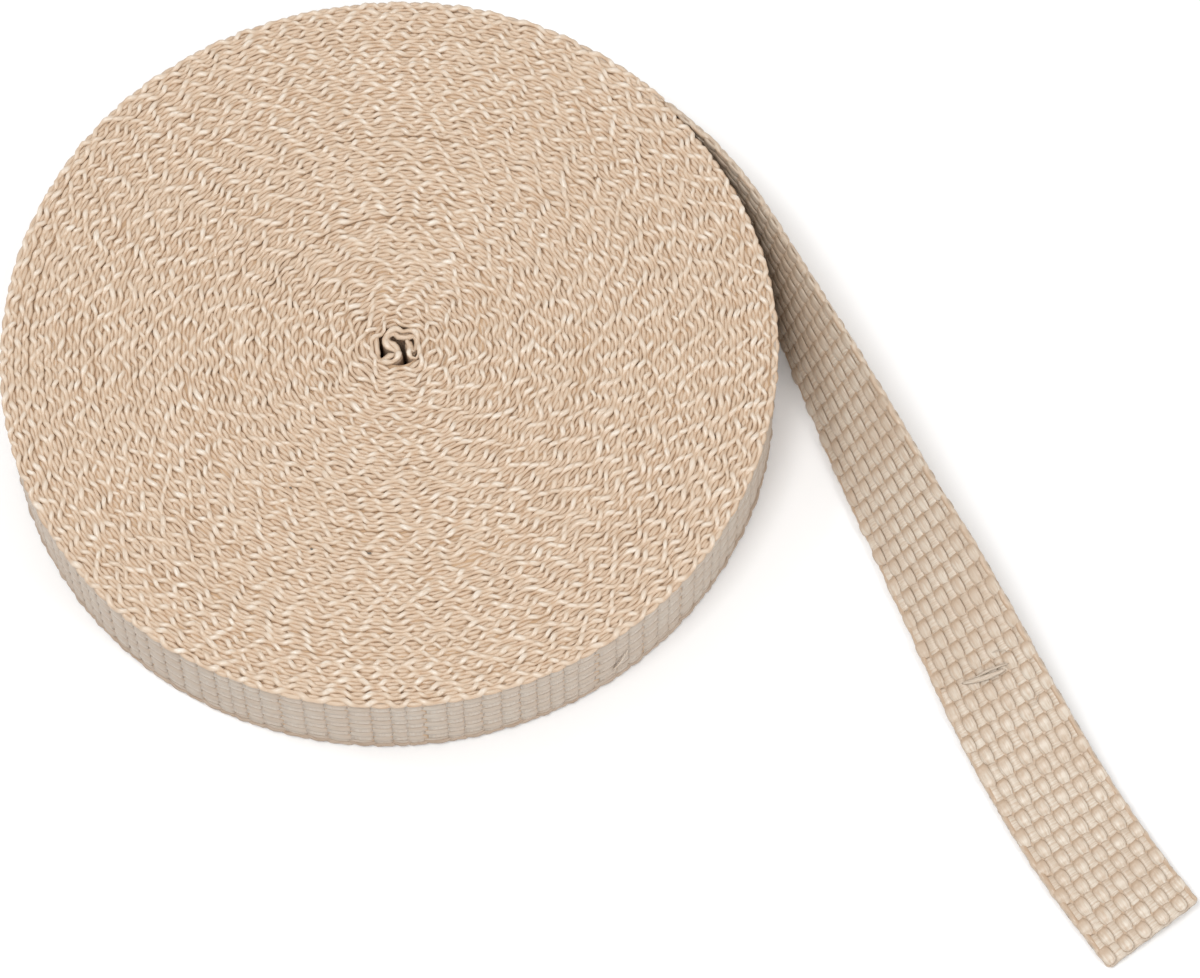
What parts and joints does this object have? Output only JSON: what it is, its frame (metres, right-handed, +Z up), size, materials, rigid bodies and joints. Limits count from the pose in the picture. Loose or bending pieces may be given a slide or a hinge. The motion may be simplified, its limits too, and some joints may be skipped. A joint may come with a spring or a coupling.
{
  "type": "exhaust heat wrap",
  "caption": "Roll of woven glass-fibre heat wrap tape, lying on its side, with its outer end led off as a free tail.",
  "frame": {"origin": "middle of the whole piece's box, on the surface that it lies on", "axes": "+Z up along the roll's axis and across the tape; the free tail runs to the right, +X, and to the front, -Y"},
  "size_m": [0.266, 0.2284, 0.0255],
  "materials": {
    "woven_glass": "matt natural woven glass fibre, cream to light tan, with a soft sheen on the yarns"
  },
  "bodies": {
    "root": {"woven_tape": "woven_glass"}
  },
  "joints": []
}
